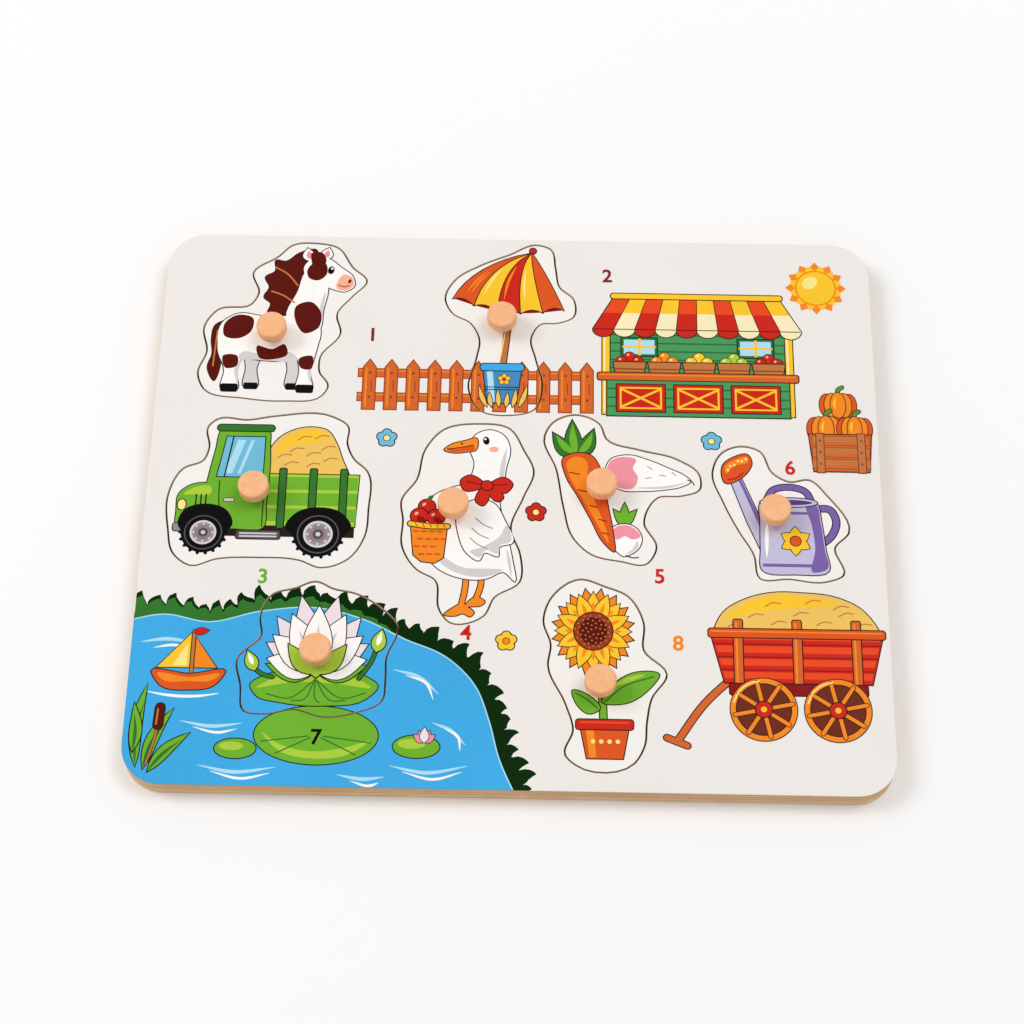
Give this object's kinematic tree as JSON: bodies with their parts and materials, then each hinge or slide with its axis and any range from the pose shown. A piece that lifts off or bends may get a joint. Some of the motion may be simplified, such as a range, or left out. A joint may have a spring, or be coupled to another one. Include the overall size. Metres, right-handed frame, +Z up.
{
  "type": "peg puzzle",
  "caption": "Wooden peg puzzle: a printed board with shaped cut-outs and lift-out picture pieces, each held by a turned wooden knob.",
  "frame": {"origin": "middle of the board's underside", "axes": "+X along the board's length to the viewer's right, +Y to the back row of pieces, +Z up out of the printed face"},
  "size_m": [0.3, 0.25, 0.0198],
  "materials": {
    "backing_wood": "bare plywood sheet, lightly sanded",
    "frame_print": "plywood with a white printed and varnished face, bare ply edges",
    "piece_print": "plywood with a bright white printed and varnished face, bare ply edges",
    "knob_wood": "turned hardwood, smooth and clear sealed"
  },
  "bodies": {
    "board": {"backing_board": "backing_wood", "frame_board": "frame_print"},
    "pony": {"pony_piece": "piece_print", "pony_knob": "knob_wood"},
    "parasol": {"parasol_piece": "piece_print", "parasol_knob": "knob_wood"},
    "lorry": {"lorry_piece": "piece_print", "lorry_knob": "knob_wood"},
    "goose": {"goose_piece": "piece_print", "goose_knob": "knob_wood"},
    "carrot": {"carrot_piece": "piece_print", "carrot_knob": "knob_wood"},
    "can": {"can_piece": "piece_print", "can_knob": "knob_wood"},
    "lily": {"lily_piece": "piece_print", "lily_knob": "knob_wood"},
    "sunflower": {"sunflower_piece": "piece_print", "sunflower_knob": "knob_wood"}
  },
  "joints": [
    {"name": "pony_lift", "type": "slide", "parent": "board", "child": "pony", "axis": [0, 0, 1], "range_m": [0, 0.04]},
    {"name": "parasol_lift", "type": "slide", "parent": "board", "child": "parasol", "axis": [0, 0, 1], "range_m": [0, 0.04]},
    {"name": "lorry_lift", "type": "slide", "parent": "board", "child": "lorry", "axis": [0, 0, 1], "range_m": [0, 0.04]},
    {"name": "goose_lift", "type": "slide", "parent": "board", "child": "goose", "axis": [0, 0, 1], "range_m": [0, 0.04]},
    {"name": "carrot_lift", "type": "slide", "parent": "board", "child": "carrot", "axis": [0, 0, 1], "range_m": [0, 0.04]},
    {"name": "can_lift", "type": "slide", "parent": "board", "child": "can", "axis": [0, 0, 1], "range_m": [0, 0.04]},
    {"name": "lily_lift", "type": "slide", "parent": "board", "child": "lily", "axis": [0, 0, 1], "range_m": [0, 0.04]},
    {"name": "sunflower_lift", "type": "slide", "parent": "board", "child": "sunflower", "axis": [0, 0, 1], "range_m": [0, 0.04]}
  ]
}
